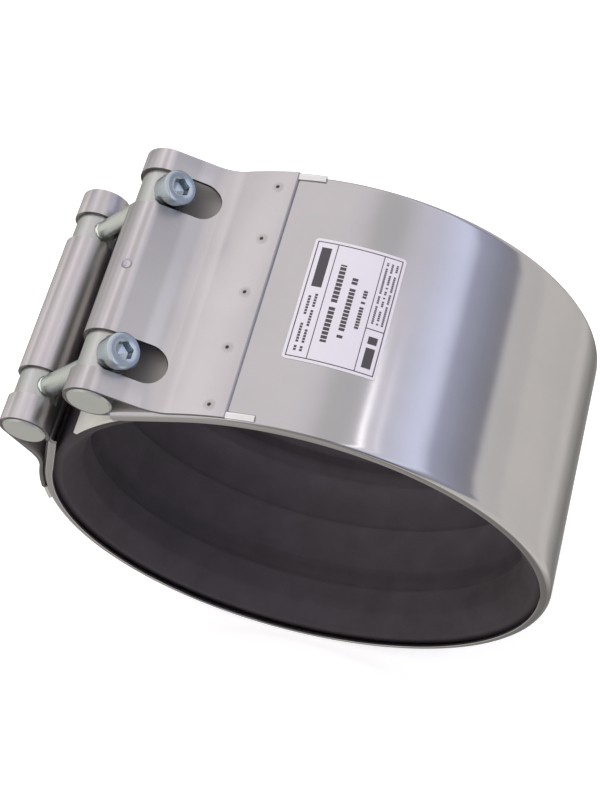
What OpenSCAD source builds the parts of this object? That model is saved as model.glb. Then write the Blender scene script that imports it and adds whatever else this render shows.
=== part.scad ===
// Wide stainless pipe repair coupling: a springy sheet casing with turned-in
// edges around a rubber sealing sleeve, closed by two socket screws that pull
// two round bars together inside folded loops at the band's ends.
//
// The part's frame: pipe axis along Y, origin on that axis at mid-length, the
// closure up and to the left when seen from -Y, with +X to the right.
// Every piece is drawn in the closure frame, where the pipe axis is Z and the
// middle of the closure is at +Y, and place() turns it into the part's frame.

/* [Casing] */
// Outside diameter of the casing
casing_d = 194; // [170:1:240]
// Length of the casing along the pipe
casing_w = 100; // [88:1:140]
// Thickness of the casing sheet
sheet_t = 1.2; // [0.8:0.1:1.6]
// Radial height of the turned-in edges
edge_h = 4; // [3:0.5:6]
// Outside bend radius of the turned-in edges
edge_r = 2; // [1.8:0.1:2.5]
// Angle from the closure's middle inside which the band runs straight
straight_angle = 27.5; // [26:0.5:30]
// Angle from the closure's middle at which the turned-in edges stop
edge_end_angle = 12.5; // [12:0.5:14]
// Turn of the closure from the top, towards -X
closure_turn = 52; // [0:1:90]
// Gap between the two halves of the casing at the back
back_gap = 0.5; // [0.4:0.1:1]

/* [Loops] */
// Distance between the two bars' centres
bar_spacing = 46; // [44:0.5:54]
// Distance of the loops' and flaps' ends from the casing's ends
loop_inset = 0.5; // [0.4:0.1:6]
// Angle from the closure's middle at which the flap starts to bend up
fold_angle = 27.2; // [26:0.1:27.4]
// Angle from the closure's middle at which the flap ends
flap_end_angle = 38.8; // [37:0.1:44]
// Inside radius of that bend
fold_r = 16; // [10:0.5:17]
// Width of the near loop's slots, which the screw heads pass
head_slot_w = 14.5; // [14:0.5:18]
// Width of the far loop's slots, which the screws' shanks pass
shank_slot_w = 11; // [9:0.5:14]
// Distance of the slots' ends from where the leg's plane meets the band's
slot_margin = 0.6; // [0:0.1:5]
// Angle about the bar, below the screw line, down to which the slots are open
slot_low_angle = 33; // [31:1:40]
// Diameter of the stake dimple in the middle of each loop
dimple_d = 4.5; // [3:0.5:6]
// Depth of the stake dimple
dimple_depth = 0.8; // [0.3:0.1:0.9]
// Angle of the stake dimple about the bar, from its top away from the gap
dimple_angle = 45; // [0:1:60]

/* [Bars] */
// Diameter of the bars
bar_d = 16; // [14:0.5:18]
// Length by which the bars stand out of the loops at each end
bar_overhang = 0.6; // [0:0.1:2]
// Radial clearance of a bar in its loop
bar_clear = 0.1; // [0.05:0.05:0.3]
// Chamfer on the bars' ends
bar_chamfer = 0.6; // [0.2:0.1:1.5]
// Distance of each screw from its end of the bars
screw_end_dist = 16.6; // [12:0.1:22]
// Radial clearance of the screw in the near bar's through hole
through_clear = 0.5; // [0.3:0.1:0.8]
// Radial clearance of the screw in the far bar's threaded hole
thread_clear = 0.1; // [0.05:0.05:0.3]
// Depth of the flat seat cut for each screw head
seat_depth = 1.5; // [1:0.1:2.5]
// Diameter of that seat
seat_d = 14; // [13.6:0.1:15]

/* [Screws] */
// Thread diameter
screw_d = 8; // [7:0.5:8]
// Length below the head
screw_len = 60; // [56:1:70]
// Head diameter
head_d = 13; // [12:0.5:13.5]
// Head height
head_h = 8; // [6:0.5:10]
// Hexagon socket across flats
socket_af = 6; // [4:0.5:6.5]
// Depth of the hexagon socket
socket_depth = 4; // [3:0.5:5]
// Chamfer round the head and the screw's tip
screw_chamfer = 0.8; // [0.4:0.1:1]

/* [Sealing sleeve] */
// Depth of the sealing lips below the casing's outside, open
lip_depth = 12.5; // [9:0.5:20]
// Radial clearance between the sleeve and the casing
sleeve_clear = 0.3; // [0.1:0.1:0.5]
// Gap between the sleeve's ends and the casing's turned-in edges
sleeve_end_gap = 1.6; // [1.5:0.1:3]
// Radial height of the lips above the sleeve's middle
lip_h = 1.8; // [1:0.1:3]
// Depth of the grooves behind the lips, below the sleeve's middle
groove_h = 2.4; // [1:0.1:3]
// Length of each lip's lead-in slope
lead_l = 8; // [4:0.5:12]
// Radial height of that slope
lead_h = 5.5; // [3:0.5:6]
// Length of each lip's land
land_l = 10; // [6:0.5:14]
// Length of each groove's floor
groove_l = 5; // [2:0.5:10]
// Length of each of the groove's sloping walls
groove_wall_l = 2.5; // [1:0.5:4]
// Width of the shallow line round the sleeve's middle
mid_line_w = 2; // [1:0.5:4]
// Depth of that line
mid_line_h = 0.8; // [0.4:0.1:1.5]

/* [Bridge plate] */
// Thickness of the plate
plate_t = 0.8; // [0.5:0.1:1]
// Depth of the plate's outer face below the casing's inner face
plate_drop = 0.4; // [0.3:0.1:1]
// Angle of the plate's tip past the closure's middle
plate_tip_angle = 4.3; // [2:0.1:5]
// Angle to which the plate reaches under the near half
plate_tail_angle = 31; // [24:0.5:36]
// Radial height of the plate's own turned-in edges
plate_edge_h = 1.4; // [1.2:0.1:3]
// Clearance of the plate all round
plate_clear = 0.3; // [0.2:0.1:0.5]

/* [Small parts] */
// Number of spot welds along each flap
weld_count = 5; // [3:1:7]
// Distance of the spot welds' row from the ends of the flaps, on average
weld_end_dist = 5.5; // [4:0.1:20]
// Distance by which the row lies nearer to the front end
weld_shift = 1.4; // [0:0.1:3]
// Angle from the closure's middle at which the spot welds lie
weld_angle = 35; // [32:0.1:36.5]
// Diameter of a spot weld's mark
weld_d = 4.4; // [3:0.1:6]
// Height of a spot weld's mark
weld_h = 0.15; // [0.1:0.05:0.3]
// Angle covered by each edge clip
clip_span = 5.8; // [4:0.1:8]
// Thickness of the edge clips
clip_t = 1; // [0.5:0.1:1.2]
// Reach of the edge clips over the casing
clip_reach = 3.6; // [2.5:0.1:6]
// Angle by which the edge clips follow the casing's bend
clip_wrap = 54; // [30:6:90]
// Height of the label along the pipe
label_w = 48; // [30:1:60]
// Length of the label round the casing
label_l = 32; // [20:1:45]
// Thickness of the label
label_t = 0.15; // [0.1:0.05:0.3]
// Angle of the label's middle from the closure's middle
label_angle = 55.5; // [54:0.5:90]

/* [Hidden] */
$fn = 96;
// Overlap that makes cuts run clear of the faces they pass through
eps = 0.5;
// Length over which the strip of each loop lies inside the band's straight end
foot_overlap = 3;
// Angle step of the drawn arcs
arc_step = 6;

casing_r = casing_d / 2;
casing_in_r = casing_r - sheet_t;
half_w = casing_w / 2;
bar_r = bar_d / 2;
screw_r = screw_d / 2;
loop_w = casing_w - 2 * loop_inset;
bar_len = loop_w + 2 * bar_overhang;
screw_offset = bar_len / 2 - screw_end_dist;
weld_pitch = (loop_w - 2 * weld_end_dist) / (weld_count - 1);

// The band's straight end, in a frame at its tangent point: x' runs along the
// sheet towards the closure, y' outwards.
loop_in_r = bar_r + bar_clear;
loop_out_r = loop_in_r + sheet_t;
foot_x = (casing_r * sin(straight_angle) - bar_spacing / 2 + loop_in_r * sin(straight_angle))
    / cos(straight_angle);
edge_end_x = casing_r * tan(straight_angle - edge_end_angle);
fold_x = casing_r * tan(straight_angle - fold_angle);
bar_at = [foot_x, loop_in_r];
fold_at = [fold_x, sheet_t + fold_r];
// The leg is the straight stretch of the flap between the fold and the loop.
to_bar = bar_at - fold_at;
leg_sum = loop_in_r + fold_r + sheet_t;
leg_angle = atan2(to_bar[1], to_bar[0]) + asin(leg_sum / norm(to_bar));
leg_len = sqrt(norm(to_bar) * norm(to_bar) - leg_sum * leg_sum);
// Length of the leg's plane from the loop to where it meets the band's
leg_reach = leg_len + fold_r * tan(leg_angle / 2);

// The bars' height above the pipe axis, in the closure frame
bar_y = casing_r * cos(straight_angle) + foot_x * sin(straight_angle)
    + loop_in_r * cos(straight_angle);
bar_x = bar_spacing / 2;

lip_r = casing_r - lip_depth;
sleeve_r = casing_in_r - sleeve_clear;
sleeve_half = half_w - sheet_t - sleeve_end_gap;
plate_r = casing_in_r - plate_drop;
plate_half = half_w - sheet_t - plate_clear - 0.1;

function arc(at, r, from, to) =
    let (steps = max(1, ceil(abs(to - from) / arc_step)))
    [for (i = [0:steps])
        let (a = from + (to - from) * i / steps)
        [at[0] + r * cos(a), at[1] + r * sin(a)]];

function reversed(list) = [for (i = [len(list) - 1:-1:0]) list[i]];

// From the closure frame to the part's frame
module place() {
    rotate([0, -closure_turn, 0])
        rotate([90, 0, 0])
            children();
}

// A profile drawn as [radius, length along the pipe], turned from one angle
// about the pipe axis to another
module turned(from, to) {
    rotate([0, 0, from])
        rotate_extrude(angle = to - from)
            children();
}

// The same, turned the other way, so that pieces with one end in common start there
module turned_back(from, to) {
    rotate([0, 0, from])
        mirror([0, 1, 0])
            rotate_extrude(angle = from - to)
                children();
}

// The frame at the far band end's tangent point
module at_band_end() {
    rotate([0, 0, straight_angle])
        translate([0, casing_r, 0])
            children();
}

// In that frame, a profile drawn as [radius, length along the pipe], run along
// the band's straight end
module run_straight(length) {
    translate([0, -casing_r, 0])
        rotate([90, 0, 90])
            linear_extrude(height = length)
                children();
}

// In that frame, the same profile turned about the pipe axis, away from the closure
module turn_on(angle) {
    translate([0, -casing_r, 0])
        rotate([0, 0, 90])
            rotate_extrude(angle = angle)
                children();
}

// The section of the sheet with its turned-in edges
module casing_profile() {
    corner = [casing_r - edge_r, half_w - edge_r];
    upper = concat(
        [[casing_r - edge_h, half_w - sheet_t], [casing_r - edge_h, half_w]],
        arc(corner, edge_r, 90, 0)
    );
    lower = [for (p = reversed(upper)) [p[0], -p[1]]];
    inner_low = arc([corner[0], -corner[1]], edge_r - sheet_t, -90, 0);
    inner_high = arc(corner, edge_r - sheet_t, 0, 90);
    polygon(concat(upper, lower, inner_low, inner_high));
}

// The section of the flap, which lies on the sheet and shares half its thickness
module flap_profile() {
    translate([casing_r - sheet_t / 2, -loop_w / 2])
        square([1.5 * sheet_t, loop_w]);
}

// The folded end as one strip of sheet: flap, fold, leg, loop and foot
module strip_section() {
    outside = concat(
        [[0, sheet_t]],
        arc(fold_at, fold_r, -90, -90 + leg_angle),
        arc(bar_at, loop_out_r, 90 + leg_angle, -90),
        [[edge_end_x - foot_overlap, -sheet_t]]
    );
    inside = concat(
        [[0, -sheet_t / 2], [fold_x, -sheet_t / 2]],
        arc(fold_at, fold_r + sheet_t, -90, -90 + leg_angle),
        arc(bar_at, loop_in_r, 90 + leg_angle, -90),
        [[edge_end_x - foot_overlap, 0]]
    );
    polygon(concat(outside, reversed(inside)));
}

// What one slot removes: an oblong from below the screw line on the gap's
// side, over the bar and down the leg, with a round end on the leg
module slot_cut(slot_w) {
    reach = 2 * loop_out_r;
    leg_out = [-sin(leg_angle), cos(leg_angle)];
    leg_along = [cos(leg_angle), sin(leg_angle)];
    round_at = leg_reach - slot_margin - slot_w / 2;
    centre = bar_at + leg_out * loop_in_r - leg_along * round_at;
    low = -straight_angle - slot_low_angle;
    translate([0, 0, -slot_w / 2])
        linear_extrude(height = slot_w)
            polygon(concat(
                [bar_at, centre - leg_out * loop_in_r / 2, centre + leg_out * loop_in_r],
                arc(bar_at, reach, 90 + leg_angle, low)
            ));
    translate([centre[0], centre[1], 0])
        rotate([0, 0, leg_angle])
            rotate([-90, 0, 0])
                translate([0, 0, -loop_in_r / 2])
                    cylinder(d = slot_w, h = loop_in_r * 1.5);
}

module stake_dimple() {
    ball_r = (dimple_d * dimple_d / 4 + dimple_depth * dimple_depth) / (2 * dimple_depth);
    a = 90 - straight_angle + dimple_angle;
    translate([
        bar_at[0] + (loop_out_r - dimple_depth + ball_r) * cos(a),
        bar_at[1] + (loop_out_r - dimple_depth + ball_r) * sin(a),
        0
    ])
        sphere(r = ball_r);
}

// The far half of the casing, from the back to its loop
module casing_half(slot_w) {
    back = asin(back_gap / 2 / casing_in_r);
    at_band_end() {
        turn_on(180 - straight_angle - back) casing_profile();
        turn_on(flap_end_angle - straight_angle) flap_profile();
        run_straight(edge_end_x) casing_profile();
        difference() {
            translate([0, 0, -loop_w / 2])
                linear_extrude(height = loop_w)
                    strip_section();
            for (side = [-1, 1])
                translate([0, 0, side * screw_offset])
                    slot_cut(slot_w);
            stake_dimple();
        }
    }
}

// Marks of the spot welds on the far flap
module weld_marks() {
    rotate([0, 0, weld_angle])
        intersection() {
            difference() {
                cylinder(r = casing_r + sheet_t + weld_h, h = casing_w, center = true);
                cylinder(r = casing_r + sheet_t, h = casing_w + eps, center = true);
            }
            for (i = [0:weld_count - 1])
                translate([0, casing_r, (i - (weld_count - 1) / 2) * weld_pitch + weld_shift])
                    rotate([-90, 0, 0])
                        cylinder(d = weld_d, h = 2 * edge_h);
        }
}

// A clip laid over the casing's front edge, next to the far flap's end
module edge_clip() {
    corner = [casing_r - edge_r, half_w - edge_r];
    outer = concat(
        [[casing_r + clip_t / 2, half_w - clip_reach]],
        [[casing_r + clip_t, half_w - clip_reach + clip_t / 2]],
        arc(corner, edge_r + clip_t, 0, clip_wrap)
    );
    inner = concat(
        [[casing_r, half_w - clip_reach]],
        arc(corner, edge_r, 0, clip_wrap)
    );
    turned(90 + flap_end_angle, 90 + flap_end_angle + clip_span)
        polygon(concat(outer, reversed(inner)));
}

// A bar with chamfered ends, its axis along Z
module bar_blank() {
    rotate_extrude()
        polygon([
            [0, -bar_len / 2],
            [bar_r - bar_chamfer, -bar_len / 2],
            [bar_r, -bar_len / 2 + bar_chamfer],
            [bar_r, bar_len / 2 - bar_chamfer],
            [bar_r - bar_chamfer, bar_len / 2],
            [0, bar_len / 2]
        ]);
}

module cross_holes(r) {
    for (side = [-1, 1])
        translate([0, 0, side * screw_offset])
            rotate([0, 90, 0])
                cylinder(r = r, h = bar_d + 2 * eps, center = true);
}

module near_bar() {
    difference() {
        bar_blank();
        cross_holes(screw_r + through_clear);
        for (side = [-1, 1])
            translate([bar_r - seat_depth, 0, side * screw_offset])
                rotate([0, 90, 0])
                    cylinder(d = seat_d, h = seat_depth + eps);
    }
}

module far_bar() {
    difference() {
        bar_blank();
        cross_holes(screw_r + thread_clear);
    }
}

// A socket screw, its head's underside at the origin and its tip towards -X
module socket_screw() {
    rotate([0, 90, 0])
        difference() {
            rotate_extrude()
                polygon([
                    [0, -screw_len],
                    [screw_r - screw_chamfer, -screw_len],
                    [screw_r, -screw_len + screw_chamfer],
                    [screw_r, 0],
                    [head_d / 2, 0],
                    [head_d / 2, head_h - screw_chamfer],
                    [head_d / 2 - screw_chamfer, head_h],
                    [0, head_h]
                ]);
            translate([0, 0, head_h - socket_depth])
                cylinder(d = socket_af / cos(30), h = socket_depth + eps, $fn = 6);
        }
}

module screw_at(side) {
    translate([bar_x + bar_r - seat_depth, bar_y, side * screw_offset])
        socket_screw();
}

// Curved plate that bridges the gap, lying between the casing and the sleeve
module bridge() {
    tail = 90 - plate_tail_angle;
    tip = 90 + plate_tip_angle;
    inner_r = plate_r - plate_t;
    turned_back(tip, tail)
        translate([inner_r, -plate_half])
            square([plate_t, 2 * plate_half]);
    for (side = [-1, 1])
        turned_back(tip, 90 - edge_end_angle + plate_clear)
            translate([plate_r - plate_edge_h, side * (plate_half - plate_t / 2) - plate_t / 2])
                square([plate_edge_h - plate_t / 2, plate_t]);
}

// Half of the sleeve's inner line, from its end to the middle
function sleeve_line() =
    let (
        mid_r = lip_r + lip_h,
        land_at = sleeve_half - lead_l,
        groove_at = land_at - land_l - groove_wall_l,
        floor_end = groove_at - groove_l
    )
    [
        [lip_r + lead_h, sleeve_half],
        [lip_r, land_at],
        [lip_r, land_at - land_l],
        [mid_r + groove_h, groove_at],
        [mid_r + groove_h, floor_end],
        [mid_r, floor_end - groove_wall_l],
        [mid_r, mid_line_w / 2],
        [mid_r + mid_line_h, 0]
    ];

module sleeve() {
    line = sleeve_line();
    other = [for (i = [len(line) - 2:-1:0]) [line[i][0], -line[i][1]]];
    pocket_r = plate_r - plate_t - plate_clear;
    difference() {
        rotate_extrude()
            polygon(concat(
                [[sleeve_r, -sleeve_half], [sleeve_r, sleeve_half]],
                line,
                other
            ));
        turned(90 - plate_tail_angle - 1, 90 + plate_tip_angle + 16)
            translate([pocket_r, -half_w])
                square([edge_h, casing_w]);
    }
}

module label_sheet() {
    span = label_l / casing_r * 180 / PI;
    turned(90 - label_angle - span / 2, 90 - label_angle + span / 2)
        translate([casing_r, -label_w / 2])
            square([label_t, label_w]);
}

module near_side() {
    mirror([1, 0, 0])
        children();
}

module rear_side() {
    mirror([0, 0, 1])
        children();
}

module casing_far() { color([0.76, 0.75, 0.75]) place() casing_half(shank_slot_w); }
module casing_near() { color([0.76, 0.75, 0.75]) place() near_side() casing_half(head_slot_w); }
module spot_welds_far() { color([0.45, 0.44, 0.43]) place() weld_marks(); }
module spot_welds_near() { color([0.45, 0.44, 0.43]) place() near_side() weld_marks(); }
module edge_clip_far_front() { color([0.86, 0.86, 0.86]) place() edge_clip(); }
module edge_clip_far_rear() { color([0.86, 0.86, 0.86]) place() rear_side() edge_clip(); }
module edge_clip_near_front() { color([0.86, 0.86, 0.86]) place() near_side() edge_clip(); }
module edge_clip_near_rear() {
    color([0.86, 0.86, 0.86]) place() near_side() rear_side() edge_clip();
}
module clamp_bar_far() { color([0.7, 0.7, 0.7]) place() translate([-bar_x, bar_y, 0]) far_bar(); }
module clamp_bar_near() { color([0.7, 0.7, 0.7]) place() translate([bar_x, bar_y, 0]) near_bar(); }
module screw_front() { color([0.66, 0.72, 0.77]) place() screw_at(1); }
module screw_rear() { color([0.66, 0.72, 0.77]) place() screw_at(-1); }
module bridge_plate() { color([0.68, 0.67, 0.65]) place() bridge(); }
module sealing_sleeve() { color([0.16, 0.15, 0.16]) place() sleeve(); }
module label() { color([0.9, 0.88, 0.9]) place() label_sheet(); }

casing_far();
casing_near();
spot_welds_far();
spot_welds_near();
edge_clip_far_front();
edge_clip_far_rear();
edge_clip_near_front();
edge_clip_near_rear();
clamp_bar_far();
clamp_bar_near();
screw_front();
screw_rear();
bridge_plate();
sealing_sleeve();
label();
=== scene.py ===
"""The looks of the pipe repair clamp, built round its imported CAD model.

Pieces are drawn in millimetres in the closure frame that the CAD model uses: the pipe axis is Z, the
middle of the closure is at +Y and the front is +Z. put() turns them into the part's frame, in metres.
Materials are laid out in the part's frame turned so that Z points out through the closure's middle,
with X across the closure and Y along the pipe.
"""
import math

import bmesh
import bpy
from mathutils import Matrix, Vector

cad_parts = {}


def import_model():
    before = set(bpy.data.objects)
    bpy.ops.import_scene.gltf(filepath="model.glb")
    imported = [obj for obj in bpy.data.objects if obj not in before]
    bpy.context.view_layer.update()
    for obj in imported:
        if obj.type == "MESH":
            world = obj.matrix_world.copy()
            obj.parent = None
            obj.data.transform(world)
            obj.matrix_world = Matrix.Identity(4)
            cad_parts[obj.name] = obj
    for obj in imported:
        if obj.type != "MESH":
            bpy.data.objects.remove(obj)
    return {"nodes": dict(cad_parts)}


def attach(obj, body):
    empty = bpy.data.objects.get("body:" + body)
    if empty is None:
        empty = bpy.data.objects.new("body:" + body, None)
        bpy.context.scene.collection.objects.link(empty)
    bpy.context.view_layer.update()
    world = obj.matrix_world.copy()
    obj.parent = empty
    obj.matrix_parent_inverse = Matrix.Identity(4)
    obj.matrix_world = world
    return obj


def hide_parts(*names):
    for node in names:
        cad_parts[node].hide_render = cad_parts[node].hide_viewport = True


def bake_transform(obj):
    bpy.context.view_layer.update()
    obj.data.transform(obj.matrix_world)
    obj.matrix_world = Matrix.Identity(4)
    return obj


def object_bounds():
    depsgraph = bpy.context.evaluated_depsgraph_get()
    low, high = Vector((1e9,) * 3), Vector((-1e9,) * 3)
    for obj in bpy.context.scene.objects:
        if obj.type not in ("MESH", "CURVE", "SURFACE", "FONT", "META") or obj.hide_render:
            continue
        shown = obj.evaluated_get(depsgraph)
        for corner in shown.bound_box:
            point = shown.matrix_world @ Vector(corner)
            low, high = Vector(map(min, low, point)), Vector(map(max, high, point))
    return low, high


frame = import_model()
cad_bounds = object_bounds()
nodes = frame["nodes"]

MM = 0.001

# The casing, in millimetres
CASING_R = 97.0
HALF_W = 50.0
SHEET = 1.2
EDGE_H = 4.0
EDGE_R = 3.0
STRAIGHT_ANGLE = 27.5
EDGE_END_ANGLE = 12.5
CLOSURE_TURN = 52.0
# The loops
LOOP_HALF_W = 49.5
FOLD_ANGLE = 27.2
FLAP_END_ANGLE = 38.8
FLAP_LIP = 0.7
FLAP_TAPER = 0.25
FOLD_R = 16.0
HEAD_SLOT_W = 14.5
SHANK_SLOT_W = 11.0
SLOT_MARGIN = 0.6
SLOT_LOW_ANGLE = 33.0
DIMPLE_R = 2.0
DIMPLE_DEPTH = 1.1
DIMPLE_ANGLE = 45.0
# How high the loops stand, and how far across the closure they cover the casing
LOOP_H = 20.0
COVERED_X = 43.0
# The bars and screws
BAR_SPACING = 46.0
BAR_R = 8.0
BAR_HALF = 50.1
BAR_CLEAR = 0.1
BAR_CHAMFER = 0.6
SCREW_OFFSET = 33.5
SCREW_R = 4.0
THROUGH_CLEAR = 0.5
THREAD_CLEAR = 0.1
SEAT_DEPTH = 1.5
SEAT_R = 7.0
SCREW_LEN = 60.0
HEAD_R = 6.5
HEAD_H = 8.0
SOCKET_AF = 6.0
SOCKET_DEPTH = 4.0
SCREW_CHAMFER = 0.8
PITCH = 1.25
THREAD_DEPTH = 0.5
THREAD_START = 43.0
# The sealing sleeve
LIP_R = 84.5
SLEEVE_R = 95.5
SLEEVE_HALF = 47.2
POCKET_R = 94.3
POCKET_FROM = -20.3
POCKET_TO = 32.0
LIP_H = 1.8
GROOVE_H = 2.4
LEAD_L = 8.0
LEAD_H = 5.5
LAND_L = 10.0
GROOVE_L = 5.0
GROOVE_WALL_L = 2.5
MID_LINE_W = 2.0
MID_LINE_H = 0.8
# The small parts
WELD_ANGLE = 35.0
WELD_PITCH = 22.0
WELD_SHIFT = 1.4
WELD_COUNT = 5
WELD_R = 2.2
CLIP_SPAN = 5.8
CLIP_T = 1.0
CLIP_REACH = 2.9
CLIP_WRAP = 40.0
CLIP_BACK = 0.4
LABEL_W = 48.0
LABEL_L = 32.0
LABEL_T = 0.15
LABEL_ANGLE = 55.5
LABEL_CORNER = 1.2
# The camera: degrees round and up, and millimetres from the part's middle, to the left and up
CAMERA_TURN = 14.44
CAMERA_LIFT = 62.895
CAMERA_BACK = 655.7
CAMERA_LEFT = 9.46
CAMERA_UP = 11.43
CAMERA_LENS = 76.55

# Worked out from those, as in the CAD model
LOOP_IN = BAR_R + BAR_CLEAR
LOOP_OUT = LOOP_IN + SHEET
_SIN = math.sin(math.radians(STRAIGHT_ANGLE))
_COS = math.cos(math.radians(STRAIGHT_ANGLE))
BAR_X = BAR_SPACING / 2
FOOT_X = (CASING_R * _SIN - BAR_X + LOOP_IN * _SIN) / _COS
BAR_Y = CASING_R * _COS + FOOT_X * _SIN + LOOP_IN * _COS
EDGE_END_X = CASING_R * math.tan(math.radians(STRAIGHT_ANGLE - EDGE_END_ANGLE))
FOLD_X = CASING_R * math.tan(math.radians(STRAIGHT_ANGLE - FOLD_ANGLE))
BAR_AT = (FOOT_X, LOOP_IN)
FOLD_AT = (FOLD_X, SHEET + FOLD_R)
_RUN = math.hypot(BAR_AT[0] - FOLD_AT[0], BAR_AT[1] - FOLD_AT[1])
_SUM = LOOP_IN + FOLD_R + SHEET
LEG_ANGLE = math.degrees(math.atan2(BAR_AT[1] - FOLD_AT[1], BAR_AT[0] - FOLD_AT[0]) + math.asin(_SUM / _RUN))
LEG_REACH = math.sqrt(_RUN * _RUN - _SUM * _SUM) + FOLD_R * math.tan(math.radians(LEG_ANGLE / 2))

TURN = Matrix.Rotation(math.radians(-CLOSURE_TURN), 4, "Y")
TO_PART = TURN @ Matrix.Rotation(math.radians(90), 4, "X") @ Matrix.Scale(MM, 4)
MIRROR = Matrix.Scale(-1, 4, (1, 0, 0))
TO_X = Matrix.Rotation(math.radians(90), 4, "Y")
# The far band end's own frame: x' along the sheet towards the closure, y' outwards
BAND_END = Matrix.Rotation(math.radians(STRAIGHT_ANGLE), 4, "Z") @ Matrix.Translation((0, CASING_R, 0))


# ---------------------------------------------------------------- mesh helpers

def arc(cx, cy, r, start, end, step=3.0):
    """Points on an arc, in degrees, both ends included."""
    count = max(1, math.ceil(abs(end - start) / step))
    angles = [math.radians(start + (end - start) * i / count) for i in range(count + 1)]
    return [(cx + r * math.cos(a), cy + r * math.sin(a)) for a in angles]


def make_object(name, mesh, material=None):
    """An object for the mesh, in the scene."""
    obj = bpy.data.objects.new(name, mesh)
    bpy.context.scene.collection.objects.link(obj)
    if material is not None:
        mesh.materials.append(material)
    return obj


def from_bmesh(name, bm, material=None, sharp=35.0):
    """An object from a bmesh: normals outwards, smooth but for edges sharper than the angle."""
    bmesh.ops.remove_doubles(bm, verts=bm.verts, dist=1e-5)
    bmesh.ops.recalc_face_normals(bm, faces=bm.faces)
    mesh = bpy.data.meshes.new(name)
    bm.to_mesh(mesh)
    bm.free()
    obj = make_object(name, mesh, material)
    smooth(obj, sharp)
    return obj


def smooth(obj, sharp=35.0):
    """Shades smooth but for edges sharper than the angle, in degrees."""
    for polygon in obj.data.polygons:
        polygon.use_smooth = True
    obj.data.set_sharp_from_angle(angle=math.radians(sharp))


def bridge_rings(bm, rings, closed_ring=True, closed_path=False):
    """Quads between rings of equal length, with an end face on each end of an open path of closed rings."""
    loops = [[bm.verts.new(point) for point in ring] for ring in rings]
    count = len(loops[0])
    pairs = list(zip(loops, loops[1:]))
    if closed_path:
        pairs.append((loops[-1], loops[0]))
    for one, two in pairs:
        for i in range(count if closed_ring else count - 1):
            j = (i + 1) % count
            bm.faces.new((one[i], one[j], two[j], two[i]))
    if closed_ring and not closed_path:
        bm.faces.new(loops[0])
        bm.faces.new(list(reversed(loops[-1])))


def lathe(name, profile, segments=96, material=None, sharp=35.0):
    """A closed profile of (radius, z) turned about Z."""
    bm = bmesh.new()
    rings = []
    for i in range(segments):
        a = 2 * math.pi * i / segments
        rings.append([(r * math.cos(a), r * math.sin(a), z) for r, z in profile])
    bridge_rings(bm, rings, closed_path=True)
    return from_bmesh(name, bm, material, sharp)


def rod(name, r, low, high, segments):
    """A plain cylinder along Z, to cut with."""
    return lathe(name, [(0.0, low), (r, low), (r, high), (0.0, high)], segments)


def prism(name, outline, low, high, material=None):
    """A 2-D outline drawn out along Z."""
    bm = bmesh.new()
    bridge_rings(bm, [[(x, y, z) for x, y in outline] for z in (low, high)])
    return from_bmesh(name, bm, material)


def apply_modifiers(obj):
    """Makes what the modifiers show the object's own mesh."""
    graph = bpy.context.evaluated_depsgraph_get()
    graph.update()
    mesh = bpy.data.meshes.new_from_object(obj.evaluated_get(graph))
    obj.modifiers.clear()
    obj.data = mesh


def cut(obj, cutters):
    """Cuts the cutters out of obj, one after the other, and deletes them."""
    for cutter in cutters:
        modifier = obj.modifiers.new("cut", "BOOLEAN")
        modifier.operation = "DIFFERENCE"
        modifier.solver = "EXACT"
        modifier.object = cutter
    bpy.context.view_layer.update()
    apply_modifiers(obj)
    for cutter in cutters:
        bpy.data.objects.remove(cutter)


def bevel(obj, width):
    """Rounds the edges that are sharper than 38 degrees."""
    modifier = obj.modifiers.new("bevel", "BEVEL")
    modifier.width = width
    modifier.segments = 2
    modifier.limit_method = "ANGLE"
    modifier.angle_limit = math.radians(38)
    modifier.miter_outer = "MITER_ARC"
    apply_modifiers(obj)
    smooth(obj)


def on_side(matrix, side):
    """The far half's matrix, or its mirror image where side is 1, for the near half."""
    return matrix if side < 0 else MIRROR @ matrix


def put(obj, matrix=Matrix.Identity(4)):
    """Moves the mesh itself from the closure frame, or a frame inside it, to the part's frame."""
    whole = TO_PART @ matrix
    obj.data.transform(whole)
    if whole.determinant() < 0:
        obj.data.flip_normals()
    obj.data.update()
    return obj


# ------------------------------------------------------------------- materials

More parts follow.
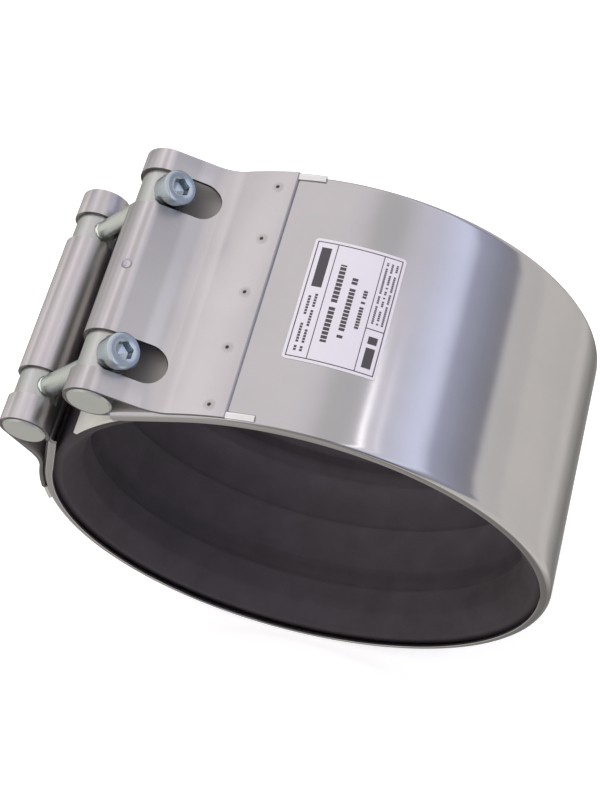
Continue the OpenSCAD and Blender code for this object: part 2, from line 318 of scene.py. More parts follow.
class Nodes:
    """A short way to write the nodes of a material or of the world."""

    def __init__(self, owner):
        owner.use_nodes = True
        self.owner = owner
        self.tree = owner.node_tree
        self.shader = self.tree.nodes.get("Principled BSDF")

    def add(self, kind, **values):
        """A new node. Values whose names start with in_ are its inputs', by name or number."""
        node = self.tree.nodes.new(kind)
        for key, value in values.items():
            if key.startswith("in_"):
                slot = key[3:]
                node.inputs[int(slot) if slot.isdigit() else slot.replace("_", " ")].default_value = value
            else:
                setattr(node, key, value)
        return node

    def link(self, source, target):
        self.tree.links.new(source, target)

    def ramp(self, source, stops):
        """The colours of the stops, as (position, colour), blended by the source."""
        ramp = self.add("ShaderNodeValToRGB")
        elements = ramp.color_ramp.elements
        while len(elements) < len(stops):
            elements.new(0.5)
        for element, (position, colour) in zip(elements, stops):
            element.position = position
            element.color = grey(colour)
        self.link(source, ramp.inputs["Fac"])
        return ramp.outputs["Color"]

    def set(self, **values):
        """Sets the shader's inputs."""
        for key, value in values.items():
            self.shader.inputs[key.replace("_", " ")].default_value = value

    def coordinates(self, scale=(1, 1, 1)):
        """Millimetres across the closure, along the pipe and out through the closure, times scale."""
        where = self.add("ShaderNodeTexCoord")
        straight = self.add("ShaderNodeMapping", in_Rotation=(0, math.radians(CLOSURE_TURN), 0))
        self.link(where.outputs["Object"], straight.inputs["Vector"])
        sized = self.add("ShaderNodeMapping", in_Scale=[s / MM for s in scale])
        self.link(straight.outputs["Vector"], sized.inputs["Vector"])
        return sized.outputs["Vector"]

    def split(self, vector):
        """The node whose outputs are the vector's X, Y and Z."""
        node = self.add("ShaderNodeSeparateXYZ")
        self.link(vector, node.inputs["Vector"])
        return node

    def noise(self, vector, scale=1.0, detail=3.0, roughness=0.5):
        noise = self.add("ShaderNodeTexNoise", in_Scale=scale, in_Detail=detail, in_Roughness=roughness)
        self.link(vector, noise.inputs["Vector"])
        return noise.outputs["Fac"]

    def bump(self, height, strength, distance, normal=None):
        bump = self.add("ShaderNodeBump", in_Strength=strength, in_Distance=distance)
        self.link(height, bump.inputs["Height"])
        if normal is not None:
            self.link(normal, bump.inputs["Normal"])
        return bump.outputs["Normal"]

    def math(self, operation, one, two=0.0):
        node = self.add("ShaderNodeMath", operation=operation)
        for i, value in enumerate((one, two)):
            if isinstance(value, (int, float)):
                node.inputs[i].default_value = value
            else:
                self.link(value, node.inputs[i])
        return node.outputs["Value"]

    def seen_directly(self):
        """1 for what the camera sees and 0 for what lights the object or is mirrored in it."""
        path = self.add("ShaderNodeLightPath")
        return self.math("MAXIMUM", path.outputs["Is Camera Ray"], path.outputs["Is Transmission Ray"])

    def mix(self, factor, one, two, blend="MIX"):
        node = self.add("ShaderNodeMix", data_type="RGBA", blend_type=blend)
        for i, value in ((0, factor), (6, one), (7, two)):
            if isinstance(value, (int, float)):
                node.inputs[i].default_value = value if i == 0 else grey(value)
            elif isinstance(value, tuple):
                node.inputs[i].default_value = grey(value)
            else:
                self.link(value, node.inputs[i])
        return node.outputs[2]


def new_material(name):
    return Nodes(bpy.data.materials.new(name))


def grey(colour):
    """The colour with its alpha, from a level or from red, green and blue."""
    if isinstance(colour, (int, float)):
        return (colour, colour, colour, 1)
    return tuple(colour) + (1,) if len(colour) == 3 else tuple(colour)


def along_pipe(n):
    """How far a face looks along the pipe, from 0 to 1."""
    normal = n.split(n.add("ShaderNodeNewGeometry").outputs["True Normal"])
    return n.math("ABSOLUTE", normal.outputs["Y"])


def folded_sheet(n, place, colour):
    """Darker where the sheet stands off the casing, with painted highlight streaks along the pipe on its
    rolled loops.
    """
    height = n.math("SUBTRACT", n.math("ABSOLUTE", place.outputs["Z"]), CASING_R + 2)
    height = n.math("MULTIPLY", height, 1 / LOOP_H)
    colour = n.mix(1.0, colour, n.ramp(height, [(0.02, 1.0), (0.12, 0.84)]), "MULTIPLY")
    # Painted highlight streaks along the pipe, from 0.9 to 1.6 times the colour, laid on the loops only
    painted_highlight_streak = n.noise(n.coordinates((0.23, 0.002, 0.23)), 1.0, 1.0, 0.5)
    painted_highlight_streak = n.ramp(painted_highlight_streak, [(0.34, (0.9, 0.88, 0.88)), (0.5, (1.08, 1.07, 1.07)), (0.62, (1.6, 1.56, 1.57))])
    on_loop = n.ramp(height, [(0.5, 0.0), (0.62, 1.0)])
    return n.mix(1.0, colour, n.mix(on_loop, 1.0, painted_highlight_streak), "MULTIPLY")


def on_threads(n, place):
    """1 on the shank of a screw, which ends at the near bar, and 0 on its head."""
    return n.math("LESS_THAN", place.outputs["X"], BAR_X)


def under_legs(n, place):
    """1 on the casing's outside where the legs and loops cover it."""
    near_middle = n.math("LESS_THAN", n.math("ABSOLUTE", place.outputs["X"]), COVERED_X)
    on_closure_side = n.math("GREATER_THAN", place.outputs["Z"], 0.0)
    outside = n.math("LESS_THAN", along_pipe(n), 0.5)
    return n.math("MULTIPLY", n.math("MULTIPLY", near_middle, on_closure_side), outside)


def steel(name, dark, light, low, high, grain=1.0, ends=1.0, folded=False, patch=None):
    """Rolled or drawn steel: fine grain round the pipe, soft clouds and slow waves.

    dark and light are the clouds' colours, and low and high are the grain's roughness. Faces that look
    along the pipe, cut or turned in, have their colour times ends: painted light and shade, lighter on the
    bars' end faces and darker on the cut and turned-in edges. patch is a function that marks a part
    of the surface, with the colour and the roughness there.
    """
    n = new_material(name)
    n.set(Metallic=1.0, Specular_Tint=grey(0.7))
    fine = n.noise(n.coordinates((0.3, 6.0, 0.3)), 1.0, 4.0, 0.6)
    cloud = n.noise(n.coordinates((0.05, 0.05, 0.03)), 1.0, 3.0, 0.55)
    place = n.split(n.coordinates())
    colour = n.ramp(cloud, [(0.3, dark), (0.7, light)])
    if folded:
        colour = folded_sheet(n, place, colour)
    both = n.math("ADD", n.math("MULTIPLY", fine, 0.6), n.math("MULTIPLY", cloud, 0.4))
    rough = n.ramp(both, [(0.3, low), (0.7, high)])
    if patch:
        marked, patch_colour, patch_roughness = patch
        inside = marked(n, place)
        colour = n.mix(inside, colour, patch_colour)
        rough = n.mix(inside, rough, patch_roughness)
    n.link(rough, n.shader.inputs["Roughness"])
    # Painted light and shade: faces that look along the pipe get their colour times ends
    painted_end_light_colour = n.mix(1.0, colour, n.ramp(along_pipe(n), [(0.8, 1.0), (0.95, ends)]), "MULTIPLY")
    n.link(painted_end_light_colour, n.shader.inputs["Base Color"])
    wave = n.bump(cloud, 0.05, 0.4 * MM)
    n.link(n.bump(fine, 0.04 * grain, 0.05 * MM, wave), n.shader.inputs["Normal"])
    return n.owner


def rubber_material():
    n = new_material("sleeve_rubber")
    patch = n.noise(n.coordinates((0.08, 0.08, 0.08)), 1.0, 3.0)
    speck = n.noise(n.coordinates((2.5, 2.5, 2.5)), 1.0, 2.0)
    n.link(n.ramp(patch, [(0.3, (0.04, 0.033, 0.037)), (0.7, (0.052, 0.043, 0.049))]),
           n.shader.inputs["Base Color"])
    n.set(Specular_IOR_Level=0.35)
    n.link(n.ramp(speck, [(0.3, 0.68), (0.7, 0.82)]), n.shader.inputs["Roughness"])
    n.link(n.bump(speck, 0.15, 0.1 * MM), n.shader.inputs["Normal"])
    return n.owner


COVERED_STEEL = (under_legs, (0.5, 0.47, 0.455), 0.7)
# The screws' shanks are painted much lighter than their heads, as painted light, and greener
SHANK_PAINTED_LIGHT = (on_threads, (0.72, 0.77, 0.72), 0.3)
casing_steel = steel("casing_steel", (0.5, 0.49, 0.495), (0.53, 0.515, 0.52), 0.09, 0.13, ends=0.7,
                     patch=COVERED_STEEL)
loop_steel = steel("loop_steel", (0.5, 0.485, 0.49), (0.54, 0.52, 0.53), 0.3, 0.38, ends=0.35, folded=True)
bar_steel = steel("bar_steel", (0.48, 0.495, 0.475), (0.52, 0.53, 0.51), 0.3, 0.38, 2.0, ends=1.12)
screw_zinc = steel("screw_zinc", (0.4, 0.45, 0.48), (0.5, 0.56, 0.6), 0.2, 0.3, 1.5, patch=SHANK_PAINTED_LIGHT)
# The bridge plate is painted far lighter and warmer than the other steel, as painted light on it in the gap
plate_steel = steel("plate_steel", (0.82, 0.81, 0.77), (0.9, 0.89, 0.84), 0.75, 0.85)
# The clips are painted lighter than the other steel, as a painted highlight on the bead
clip_steel = steel("clip_steel", (0.66, 0.66, 0.65), (0.76, 0.76, 0.75), 0.14, 0.2, ends=0.6)
rubber = rubber_material()


def weld_material():
    """A dark burnt dot in a faint ring of duller steel; the map runs from the middle out."""
    n = new_material("weld_steel")
    n.set(Metallic=1.0)
    out = n.split(n.add("ShaderNodeUVMap", uv_map="ring").outputs["UV"]).outputs["X"]
    burnt = [(0.0, (0.05, 0.04, 0.035)), (0.26, (0.08, 0.06, 0.05)), (0.36, (0.42, 0.4, 0.39)),
             (0.8, (0.46, 0.45, 0.45)), (1.0, (0.5, 0.495, 0.5))]
    n.link(n.ramp(out, burnt), n.shader.inputs["Base Color"])
    speck = n.noise(n.coordinates((3.0, 3.0, 3.0)), 1.0, 2.0)
    n.link(n.ramp(speck, [(0.3, 0.3), (0.7, 0.42)]), n.shader.inputs["Roughness"])
    n.link(n.bump(speck, 0.1, 0.05 * MM), n.shader.inputs["Normal"])
    return n.owner


weld_steel = weld_material()


def label_material():
    """A plain printed layout: a thin frame, a dark band, rules and rows of short bars, with no lettering."""
    n = new_material("label_film")
    where = n.split(n.add("ShaderNodeUVMap", uv_map="label").outputs["UV"])
    down = where.outputs["X"]
    across = where.outputs["Y"]

    def inside(value, low, high):
        return n.math("MULTIPLY", n.math("GREATER_THAN", value, low), n.math("LESS_THAN", value, high))

    def block(top, bottom, left, right):
        return n.math("MULTIPLY", inside(down, top, bottom), inside(across, left, right))

    def rows(top, bottom, left, right, count, cells, seed):
        """Rows of bars of uneven length in a block, as in a layout sketch."""
        row = n.math("MULTIPLY", n.math("SUBTRACT", down, top), count / (bottom - top))
        cell = n.math("MULTIPLY", across, cells)
        in_row = inside(n.math("FRACT", row), 0.25, 0.7)
        in_cell = inside(n.math("FRACT", cell), 0.0, 0.8)
        stripe = n.math("MULTIPLY", in_row, in_cell)
        key = n.add("ShaderNodeCombineXYZ", in_Z=seed)
        n.link(n.math("FLOOR", cell), key.inputs["X"])
        n.link(n.math("FLOOR", row), key.inputs["Y"])
        chance = n.add("ShaderNodeTexWhiteNoise", noise_dimensions="3D")
        n.link(key.outputs["Vector"], chance.inputs["Vector"])
        filled = n.math("GREATER_THAN", chance.outputs["Value"], 0.22)
        return n.math("MULTIPLY", n.math("MULTIPLY", stripe, filled), block(top, bottom, left, right))

    frame_line = n.math("SUBTRACT", block(0.03, 0.97, 0.022, 0.978), block(0.042, 0.958, 0.03, 0.97))
    parts = [
        block(0.09, 0.2, 0.07, 0.4),
        rows(0.08, 0.21, 0.45, 0.93, 2, 44, 1.0),
        block(0.252, 0.262, 0.03, 0.97),
        rows(0.3, 0.45, 0.18, 0.82, 1, 30, 5.0),
        rows(0.46, 0.6, 0.26, 0.76, 1, 34, 7.0),
        rows(0.62, 0.72, 0.34, 0.66, 1, 44, 2.0),
        block(0.76, 0.77, 0.03, 0.97),
        block(0.76, 0.97, 0.62, 0.628),
        rows(0.79, 0.95, 0.07, 0.58, 3, 60, 3.0),
        block(0.82, 0.92, 0.68, 0.74),
        block(0.82, 0.92, 0.77, 0.93),
    ]
    ink = frame_line
    for part in parts:
        ink = n.math("MAXIMUM", ink, part)
    n.link(n.mix(ink, (0.61, 0.58, 0.62), (0.05, 0.045, 0.05)), n.shader.inputs["Base Color"])
    speck = n.noise(n.coordinates((1.2, 1.2, 1.2)), 1.0, 3.0)
    n.link(n.ramp(speck, [(0.3, 0.4), (0.7, 0.55)]), n.shader.inputs["Roughness"])
    n.link(n.bump(speck, 0.05, 0.05 * MM), n.shader.inputs["Normal"])
    return n.owner


label_film = label_material()


# ----------------------------------------------------------------- the casing

def casing_outline():
    """The sheet's section with its turned-in edges, as (radius, z), from the cut edge round and back."""
    corner_r = CASING_R - EDGE_R
    corner_z = HALF_W - EDGE_R
    cut_r = CASING_R - EDGE_H
    soft = 0.2
    outer = [(cut_r, HALF_W - soft), (cut_r + soft, HALF_W)]
    outer += arc(corner_r, corner_z, EDGE_R, 90, 0, 15)
    flat = [(CASING_R, corner_z - corner_z * i / 8) for i in range(1, 9)]
    inner = arc(corner_r, corner_z, EDGE_R - SHEET, 0, 90, 15) + [(cut_r + soft, HALF_W - SHEET)]
    inner_flat = [(CASING_R - SHEET, z) for _, z in reversed(flat[:-1])]
    upper_outer = outer + flat
    lower_outer = [(r, -z) for r, z in reversed(upper_outer[:-1])]
    upper_inner = [(CASING_R - SHEET, 0)] + inner_flat + inner + [(cut_r, HALF_W - SHEET + soft)]
    lower_inner = [(r, -z) for r, z in reversed(upper_inner[1:])]
    return upper_outer + lower_outer + lower_inner + upper_inner


def casing_band():
    """The band round the sleeve, straight at both ends, where it passes under the legs."""
    outline = casing_outline()

    def straight(x, side):
        matrix = on_side(BAND_END, side)
        return [matrix @ Vector((x, r - CASING_R, z)) for r, z in outline]

    def turned(angle):
        a = math.radians(angle)
        return [Vector((r * math.cos(a), r * math.sin(a), z)) for r, z in outline]

    ends = [EDGE_END_X, EDGE_END_X - 0.3, EDGE_END_X * 0.6, EDGE_END_X * 0.25]
    rings = [straight(x, -1) for x in ends]
    start = 90 + STRAIGHT_ANGLE
    sweep = 360 - 2 * STRAIGHT_ANGLE
    count = 204
    rings += [turned(start + sweep * i / count) for i in range(count + 1)]
    rings += [straight(x, 1) for x in reversed(ends)]
    bm = bmesh.new()
    bridge_rings(bm, rings)
    obj = put(from_bmesh("casing_band", bm, casing_steel))
    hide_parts("casing_far", "casing_near")
    return obj


def strip_outline():
    """Flap, fold, leg, loop and foot as one strip, in the band end's frame."""
    turned = FLAP_END_ANGLE - STRAIGHT_ANGLE
    lift = 0.02
    outside = arc(0, -CASING_R, CASING_R + FLAP_LIP, 90 + turned, 90 + turned, 2)[:1]
    outside += arc(0, -CASING_R, CASING_R + SHEET, 90 + turned - FLAP_TAPER, 90, 2)
    outside += arc(*FOLD_AT, FOLD_R, -90, -90 + LEG_ANGLE, 2)
    outside += arc(*BAR_AT, LOOP_OUT, 90 + LEG_ANGLE, -90)
    outside += [(EDGE_END_X - lift, -SHEET)]
    inside = arc(0, -CASING_R, CASING_R + lift, 90 + turned, 90, 2)
    inside += arc(*FOLD_AT, FOLD_R + SHEET - lift, -90, -90 + LEG_ANGLE, 2)
    inside += arc(*BAR_AT, LOOP_IN, 90 + LEG_ANGLE, -90)
    inside += [(EDGE_END_X - lift, 0)]
    return outside + inside[::-1]


def slot_cutters(z, width):
    """The oblong that one slot removes, and the cylinder of its round end on the leg."""
    leg = math.radians(LEG_ANGLE)
    out = Vector((-math.sin(leg), math.cos(leg)))
    along = Vector((math.cos(leg), math.sin(leg)))
    bar = Vector(BAR_AT)
    end = bar + out * LOOP_IN - along * (LEG_REACH - SLOT_MARGIN - width / 2)
    low = -STRAIGHT_ANGLE - SLOT_LOW_ANGLE
    outline = [tuple(bar), tuple(end - out * LOOP_IN / 2), tuple(end + out * LOOP_IN)]
    outline += arc(*BAR_AT, 2 * LOOP_OUT, 90 + LEG_ANGLE, low, 12)
    oblong = prism("slot", outline, z - width / 2, z + width / 2)
    tip = rod("slot_end", width / 2, -LOOP_IN / 2, LOOP_IN, 64)
    across = Matrix.Rotation(math.radians(-90), 4, "X")
    tip.data.transform(Matrix.Translation((end.x, end.y, z)) @ Matrix.Rotation(leg, 4, "Z") @ across)
    return [oblong, tip]


def dimple_cutter():
    """The ball that dents the loop at mid-length."""
    ball_r = (DIMPLE_R * DIMPLE_R + DIMPLE_DEPTH * DIMPLE_DEPTH) / (2 * DIMPLE_DEPTH)
    a = math.radians(90 - STRAIGHT_ANGLE + DIMPLE_ANGLE)
    reach = LOOP_OUT - DIMPLE_DEPTH + ball_r
    bm = bmesh.new()
    bmesh.ops.create_uvsphere(bm, u_segments=64, v_segments=48, radius=ball_r)
    bm.transform(Matrix.Translation((BAR_AT[0] + reach * math.cos(a), BAR_AT[1] + reach * math.sin(a), 0)))
    return from_bmesh("dimple", bm)


def loop_strip(name, side, slot_width, body):
    """One flap with its leg and loop, slotted for the screws; side is -1 on the far half, 1 on the near."""
    strip = prism(name, strip_outline(), -LOOP_HALF_W, LOOP_HALF_W, loop_steel)
    cutters = slot_cutters(-SCREW_OFFSET, slot_width) + slot_cutters(SCREW_OFFSET, slot_width)
    cutters.append(dimple_cutter())
    cut(strip, cutters)
    bevel(strip, 0.18)
    put(strip, on_side(BAND_END, side))
    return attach(strip, body)


band = casing_band()
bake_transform(band)
loop_strip("far_loop", -1, SHANK_SLOT_W, "far_half")
loop_strip("near_loop", 1, HEAD_SLOT_W, "near_half")


# ------------------------------------------------------------ bars and screws

def bar(name, x, hole_clear, seats, body, node):
    """A round bar with chamfered ends and two cross holes, and flat seats where it carries the heads."""
    soft = BAR_CHAMFER
    beyond = BAR_R + 1
    profile = [(0.0, -BAR_HALF), (BAR_R - soft, -BAR_HALF), (BAR_R, -BAR_HALF + soft)]
    profile += [(r, -z) for r, z in reversed(profile)]
    piece = lathe(name, profile, 128, bar_steel, 30)
    cutters = []
    for z in (-SCREW_OFFSET, SCREW_OFFSET):
        hole = rod("hole", SCREW_R + hole_clear, -beyond, beyond, 48)
        hole.data.transform(Matrix.Translation((0, 0, z)) @ TO_X)
        cutters.append(hole)
        if seats:
            seat = rod("seat", SEAT_R, BAR_R - SEAT_DEPTH, beyond, 64)
            seat.data.transform(Matrix.Translation((0, 0, z)) @ TO_X)
            cutters.append(seat)
    cut(piece, cutters)
    smooth(piece, 30)
    put(piece, Matrix.Translation((x, BAR_Y, 0)))
    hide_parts(node)
    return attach(piece, body)


bar("far_bar_piece", -BAR_X, THREAD_CLEAR, False, "far_bar", "clamp_bar_far")
bar("near_bar_piece", BAR_X, THROUGH_CLEAR, True, "near_bar", "clamp_bar_near")


def head_line():
    """The head and shank as (radius, height), from the middle of the head's top to the thread.

    The head's underside is lifted a hair, so that it clears its seat as it turns.
    """
    soft = 0.15
    lift = 0.03
    top_r = HEAD_R - SCREW_CHAMFER
    line = [(0.0, HEAD_H), (top_r - soft, HEAD_H), (top_r, HEAD_H - 0.03)]
    line += [(HEAD_R - 0.06, HEAD_H - SCREW_CHAMFER), (HEAD_R, HEAD_H - SCREW_CHAMFER - soft)]
    line += [(HEAD_R, soft), (HEAD_R - soft, lift), (SCREW_R + 0.1, lift), (SCREW_R, -0.2)]
    return line + [(SCREW_R, -THREAD_START + 0.5)]


def thread_line(turn):
    """The thread as (radius, height) at a share of a turn round the screw, down to its chamfered tip."""
    steps_per_turn = 10
    thread_len = SCREW_LEN - THREAD_START
    count = int(thread_len / PITCH * steps_per_turn)
    line = []
    for i in range(count + 1):
        height = -THREAD_START - thread_len * i / count
        phase = (height / PITCH - turn) % 1.0
        groove = THREAD_DEPTH * (1 - abs(2 * phase - 1))
        fade_in = min(1.0, (-height - THREAD_START) / PITCH)
        tip_r = SCREW_R - max(0.0, SCREW_CHAMFER - (SCREW_LEN + height))
        line.append((min(SCREW_R - groove * fade_in, tip_r), height))
    return line


def socket_cutters():
    """The hexagon socket with its drilled point, and the cone at its mouth."""
    socket_r = SOCKET_AF / 2 / math.cos(math.radians(30))
    corners = arc(0, 0, socket_r, 0, 300, 60)
    end = HEAD_H - SOCKET_DEPTH
    steps = ((0.02, end - 1.2), (1.0, end), (1.0, HEAD_H + 1))
    bm = bmesh.new()
    bridge_rings(bm, [[(x * size, y * size, height) for x, y in corners] for size, height in steps])
    key = from_bmesh("key", bm)
    mouth_r = socket_r + 0.25
    above = HEAD_H + 0.1
    mouth = lathe("mouth", [(0.0, HEAD_H - mouth_r * 0.5), (mouth_r + 0.2, above), (0.0, above)], 48)
    return [key, mouth]


def screw(name, z, body, node):
    """A socket screw, drawn along Z with its head's underside at 0 and its tip at -SCREW_LEN."""
    segments = 72
    rings = []
    for i in range(segments):
        turn = i / segments
        a = 2 * math.pi * turn
        line = head_line() + thread_line(turn) + [(0.0, -SCREW_LEN)]
        rings.append([(r * math.cos(a), r * math.sin(a), height) for r, height in line])
    bm = bmesh.new()
    bridge_rings(bm, rings, closed_ring=False, closed_path=True)
    piece = from_bmesh(name, bm, screw_zinc, 40)
    cut(piece, socket_cutters())
    smooth(piece, 40)
    put(piece, Matrix.Translation((BAR_X + BAR_R - SEAT_DEPTH, BAR_Y, z)) @ TO_X)
    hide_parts(node)
    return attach(piece, body)


screw("front_socket_screw", SCREW_OFFSET, "front_screw", "screw_front")
screw("rear_socket_screw", -SCREW_OFFSET, "rear_screw", "screw_rear")


# ---------------------------------------------------------- the sealing sleeve

def sleeve_inner():
    """The sleeve's inner line as (radius, z), from the front end to the rear end."""
    mid_r = LIP_R + LIP_H
    land_at = SLEEVE_HALF - LEAD_L
    groove_at = land_at - LAND_L - GROOVE_WALL_L
    floor_end = groove_at - GROOVE_L
    half = [
        (LIP_R + LEAD_H + 0.4, SLEEVE_HALF),
        (LIP_R + LEAD_H, SLEEVE_HALF - 0.4),
        (LIP_R + 0.4, land_at + 0.5),
        (LIP_R, land_at - 0.3),
        (LIP_R, land_at - LAND_L + 0.3),
        (LIP_R + 0.5, land_at - LAND_L - 0.3),
        (mid_r + GROOVE_H - 0.4, groove_at + 0.3),
        (mid_r + GROOVE_H, groove_at - 0.3),
        (mid_r + GROOVE_H, floor_end + 0.3),
        (mid_r + GROOVE_H - 0.4, floor_end - 0.3),
        (mid_r + 0.3, floor_end - GROOVE_WALL_L + 0.3),
        (mid_r, floor_end - GROOVE_WALL_L - 0.4),
        (mid_r, MID_LINE_W / 2 + 0.2),
        (mid_r + MID_LINE_H * 0.8, MID_LINE_W / 4),
    ]
    return half + [(mid_r + MID_LINE_H, 0.0)] + [(r, -z) for r, z in reversed(half)]


def sleeve():
    """The rubber sleeve, with a shallow pocket under the closure for the bridge plate."""
    inner = sleeve_inner()
    soft = 0.5
    edge = 0.05
    angles = [2.0 * i for i in range(180)]
    for limit in (POCKET_FROM, POCKET_TO):
        angles += [(90 - limit) % 360, (90 - limit + edge) % 360]
    rings = []
    for angle in sorted(angles):
        off_centre = (90 - angle + 180) % 360 - 180
        outer = POCKET_R if POCKET_FROM < off_centre < POCKET_TO else SLEEVE_R
        profile = inner + [(outer - soft, -SLEEVE_HALF), (outer, -SLEEVE_HALF + soft)]
        profile += [(outer, SLEEVE_HALF - soft), (outer - soft, SLEEVE_HALF)]
        a = math.radians(angle)
        rings.append([(r * math.cos(a), r * math.sin(a), z) for r, z in profile])
    bm = bmesh.new()
    bridge_rings(bm, rings, closed_path=True)
    obj = put(from_bmesh("rubber_sleeve", bm, rubber, 50))
    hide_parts("sealing_sleeve")
    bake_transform(obj)
    return obj


sleeve()


# ------------------------------------------------------------- the small parts

def clip(name, side, end, body, node):
    """A bead laid over the casing's edge beside a flap's end."""
    corner_r = CASING_R - EDGE_R
    corner_z = HALF_W - EDGE_R
    half = CLIP_REACH / 2
    low = HALF_W - CLIP_REACH - CLIP_BACK
    outer = [(CASING_R + CLIP_T * math.sin(math.radians(t)), low + half - half * math.cos(math.radians(t)))
             for t in range(15, 166, 15)]
    inner = [(CASING_R + 0.01, low)] + arc(corner_r, corner_z, EDGE_R + 0.01, 0, CLIP_WRAP, 10)
    outline = outer + inner[::-1]
    start = 90 + FLAP_END_ANGLE
    bm = bmesh.new()
    rings = []
    for i in range(9):
        a = math.radians(start + CLIP_SPAN * i / 8)
        rings.append([(r * math.cos(a), r * math.sin(a), z) for r, z in outline])
    bridge_rings(bm, rings)
    piece = from_bmesh(name, bm, clip_steel, 50)
    put(piece, on_side(Matrix.Scale(end, 4, (0, 0, 1)), side))
    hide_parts(node)
    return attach(piece, body)


for side, half in ((-1, "far"), (1, "near")):
    for end, word in ((1, "front"), (-1, "rear")):
        clip(f"{half}_{word}_clip", side, end, f"{half}_half", f"edge_clip_{half}_{word}")


def weld_marks(name, side, body, node):
    """A row of flat marks with a small dished dot in the middle of each, in one piece for a flap."""
    r0 = CASING_R + SHEET
    bm = bmesh.new()
    uv = bm.loops.layers.uv.new("ring")
    profile = [(0.0, 0.02), (0.45, 0.03), (0.65, 0.09), (0.9, 0.1), (1.8, 0.06), (WELD_R, 0.01)]
    segments = 32
    for k in range(WELD_COUNT):
        z = (k - (WELD_COUNT - 1) / 2) * WELD_PITCH + WELD_SHIFT
        rings = []
        for i in range(segments):
            a = 2 * math.pi * i / segments
            ring = []
            for r, height in profile:
                u = r * math.cos(a)
                ring.append(bm.verts.new((u, math.sqrt((r0 + height) ** 2 - u * u), z + r * math.sin(a))))
            rings.append(ring)
        for i in range(segments):
            one, two = rings[i], rings[(i + 1) % segments]
            for j in range(len(profile) - 1):
                face = bm.faces.new((one[j], one[j + 1], two[j + 1], two[j]))
                for loop, at in zip(face.loops, (j, j + 1, j + 1, j)):
                    loop[uv].uv = (profile[at][0] / WELD_R, 0.0)
    piece = from_bmesh(name, bm, weld_steel, 80)
    put(piece, on_side(Matrix.Rotation(math.radians(WELD_ANGLE), 4, "Z"), side))
    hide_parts(node)
    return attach(piece, body)


weld_marks("far_weld_marks", -1, "far_half", "spot_welds_far")
weld_marks("near_weld_marks", 1, "near_half", "spot_welds_near")


def label_sticker():
    """A thin film with round corners, laid on the casing beside the near flap."""
    span = LABEL_L / CASING_R
    middle = math.radians(90 - LABEL_ANGLE)
    bm = bmesh.new()
    uv = bm.loops.layers.uv.new("label")
    columns = 24
    rows = 24
    corner = LABEL_CORNER

    def half_width(s):
        """Half the label's height at a distance s from its edge, with round corners."""
        if s >= corner:
            return LABEL_W / 2
        return LABEL_W / 2 - corner + math.sqrt(max(0.0, corner * corner - (corner - s) ** 2))

    places = [0.0, 0.1, 0.3, 0.6, corner]
    places += [corner + (LABEL_L - 2 * corner) * i / columns for i in range(1, columns)]
    places += [LABEL_L - s for s in (corner, 0.6, 0.3, 0.1, 0.0)]
    grid = []
    for s in places:
        half = half_width(min(s, LABEL_L - s))
        a = middle + span / 2 - s / CASING_R
        line = []
        for i in range(rows + 1):
            z = half * (2 * i / rows - 1)
            r = CASING_R + LABEL_T
            vertex = bm.verts.new((r * math.cos(a), r * math.sin(a), z))
            line.append((vertex, (s / LABEL_L, z / LABEL_W + 0.5)))
        grid.append(line)
    for one, two in zip(grid, grid[1:]):
        for i in range(rows):
            quad = [one[i], one[i + 1], two[i + 1], two[i]]
            face = bm.faces.new([v for v, _ in quad])
            for loop, (_, place) in zip(face.loops, quad):
                loop[uv].uv = place
    piece = from_bmesh("label_sticker", bm, label_film)
    thick = piece.modifiers.new("thick", "SOLIDIFY")
    thick.thickness = LABEL_T * 0.9
    thick.offset = -1
    apply_modifiers(piece)
    smooth(piece)
    put(piece)
    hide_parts("label")
    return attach(piece, "near_half")


label_sticker()

plate = nodes["bridge_plate"]
plate.data.materials.clear()
plate.data.materials.append(plate_steel)


# --------------------------------------------------------- floor, light, camera

def floor_material():
    """White to the eye, with the object's shadow. The steel mirrors it as a warmer glow, with painted shade
    beside the object and painted brighter bands further out.
    """
    n = new_material("floor_white")
    n.set(Base_Color=grey((0.86, 0.85, 0.82)), Roughness=0.9, Specular_IOR_Level=0.1)
    glow = n.add("ShaderNodeEmission", in_Color=grey(1.0))
    n.link(n.math("MULTIPLY", n.seen_directly(), 0.45), glow.inputs["Strength"])
    both = n.add("ShaderNodeAddShader")
    n.link(n.shader.outputs["BSDF"], both.inputs[0])
    n.link(glow.outputs["Emission"], both.inputs[1])
    where = n.split(n.add("ShaderNodeTexCoord").outputs["Object"])
    # Metres from the pipe axis, and the level mirrored from there: painted shade beside the object, painted
    # light further out
    levels = [
        (0.02, 0.76), (0.1, 0.46), (0.125, 0.41), (0.15, 0.38), (0.193, 0.74), (0.215, 1.0), (0.24, 1.03),
        (0.285, 0.93), (0.365, 0.93),
    ]
    level = n.mix(1.0, n.ramp(where.outputs["X"], levels), (0.98, 0.95, 0.905), "MULTIPLY")
    mirrored_painted_light = n.add("ShaderNodeEmission", in_Strength=1.0)
    n.link(level, mirrored_painted_light.inputs["Color"])
    pick = n.add("ShaderNodeMixShader")
    n.link(n.add("ShaderNodeLightPath").outputs["Is Glossy Ray"], pick.inputs["Fac"])
    n.link(both.outputs["Shader"], pick.inputs[1])
    n.link(mirrored_painted_light.outputs["Emission"], pick.inputs[2])
    n.link(pick.outputs["Shader"], n.tree.nodes["Material Output"].inputs["Surface"])
    return n.owner


def floor():
    """A wide floor just under the part."""
    bm = bmesh.new()
    bmesh.ops.create_grid(bm, x_segments=8, y_segments=8, size=3.0)
    piece = from_bmesh("floor", bm, floor_material())
    piece.location.z = cad_bounds[0][2] - 0.2 * MM


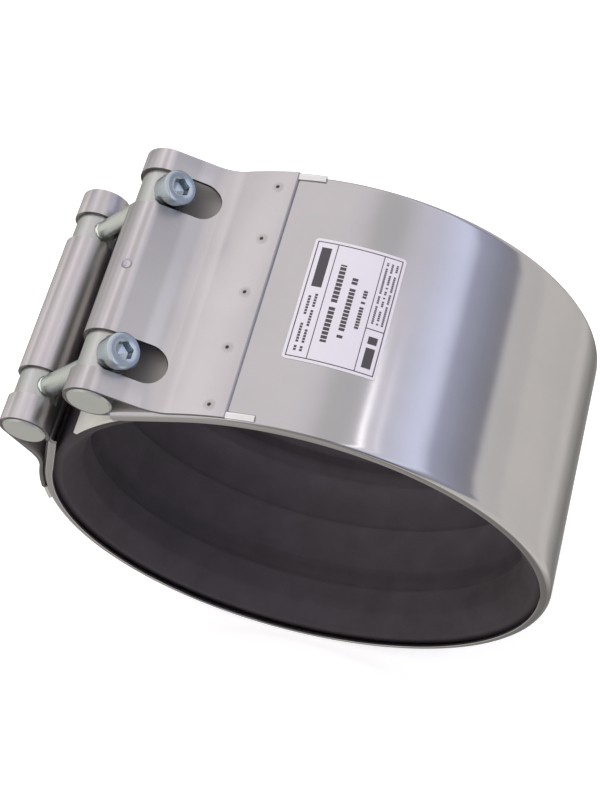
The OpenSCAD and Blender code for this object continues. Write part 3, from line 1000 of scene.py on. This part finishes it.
def world():
    """Soft bands of light round the pipe axis, as from panels in a studio, and a dim patch at the front."""
    n = Nodes(bpy.data.worlds.new("studio"))
    bpy.context.scene.world = n.owner
    where = n.split(n.add("ShaderNodeTexCoord").outputs["Generated"])
    share = n.add("ShaderNodeMath", operation="MULTIPLY_ADD", in_1=1 / (2 * math.pi), in_2=0.5)
    n.link(n.math("ARCTAN2", where.outputs["Z"], where.outputs["X"]), share.inputs[0])

    def round_axis(levels):
        """Light by the angle about the pipe axis, in degrees from +X through +Z."""
        return n.ramp(share.outputs["Value"], [((angle + 180) / 360, level) for angle, level in levels])

    light = round_axis([
        (-180, 0.95), (-150, 0.9), (-30, 0.85),
        (5, (0.82, 0.805, 0.78)), (12, (0.86, 0.85, 0.85)), (15.5, (0.38, 0.38, 0.42)),
        (24, (0.43, 0.44, 0.54)), (30, (0.5, 0.52, 0.66)), (37, (0.58, 0.61, 0.78)),
        (40, (0.95, 1.0, 1.25)), (44, (1.1, 1.15, 1.44)), (50, (1.0, 1.05, 1.3)),
        (57, (0.94, 0.95, 1.1)), (66, (0.95, 0.92, 1.02)), (76, (0.76, 0.75, 0.77)),
        (85, (0.78, 0.77, 0.78)), (92, (0.98, 0.95, 0.98)), (99, (1.05, 1.01, 1.03)),
        (130, (1.03, 0.99, 1.01)), (136, (1.42, 1.37, 1.39)), (146, (1.42, 1.37, 1.39)),
        (153, (1.0, 0.96, 0.98)), (180, 0.95),
    ])
    # Two narrow lights low behind the object, seen in the front part of the casing
    glints = round_axis([(60, 0), (61.5, 0.6), (63, 0.1), (67, 0.1), (68.7, 2.2), (70.4, 0)])
    low_behind = n.ramp(where.outputs["Y"], [(0.455, 1.0), (0.49, 0.0)])
    light = n.mix(1.0, light, n.mix(1.0, glints, low_behind, "MULTIPLY"), "ADD")
    dim_front = n.ramp(n.math("MULTIPLY", where.outputs["Y"], -1.0), [(0.84, 1.0), (0.93, 0.35)])
    lit = n.tree.nodes["Background"]
    n.link(n.mix(1.0, light, dim_front, "MULTIPLY"), lit.inputs["Color"])
    white = n.add("ShaderNodeBackground", in_Color=grey(1.0))
    pick = n.add("ShaderNodeMixShader")
    n.link(n.seen_directly(), pick.inputs["Fac"])
    n.link(lit.outputs["Background"], pick.inputs[1])
    n.link(white.outputs["Background"], pick.inputs[2])
    n.link(pick.outputs["Shader"], n.tree.nodes["World Output"].inputs["Surface"])


def area_light(name, place, aim, size, power):
    """A soft light that casts shadows and isn't mirrored."""
    light = bpy.data.lights.new(name, "AREA")
    light.shape = "RECTANGLE"
    light.size = size[0]
    light.size_y = size[1]
    light.energy = power
    obj = bpy.data.objects.new(name, light)
    bpy.context.scene.collection.objects.link(obj)
    obj.location = place
    obj.rotation_euler = (Vector(aim) - Vector(place)).to_track_quat("-Z", "Y").to_euler()
    obj.visible_glossy = False


def camera():
    """The photo's view."""
    data = bpy.data.cameras.new("camera")
    data.sensor_width = 36.0
    data.sensor_fit = "AUTO"
    data.lens = CAMERA_LENS
    obj = bpy.data.objects.new("camera", data)
    bpy.context.scene.collection.objects.link(obj)
    turn = math.radians(CAMERA_TURN)
    lift = math.radians(CAMERA_LIFT)
    back = Vector((math.sin(turn) * math.cos(lift), -math.cos(turn) * math.cos(lift), math.sin(lift)))
    right = Vector((math.cos(turn), math.sin(turn), 0))
    up = back.cross(right)
    obj.location = (back * CAMERA_BACK - right * CAMERA_LEFT + up * CAMERA_UP) * MM
    obj.matrix_world = Matrix.Translation(obj.location) @ Matrix((right, up, back)).transposed().to_4x4()
    bpy.context.scene.camera = obj


floor()
world()
area_light("key", (-0.5, 0.5, 1.1), (0, 0, 0), (0.6, 0.6), 6.0)
camera()

scene = bpy.context.scene
scene.view_settings.view_transform = "Standard"
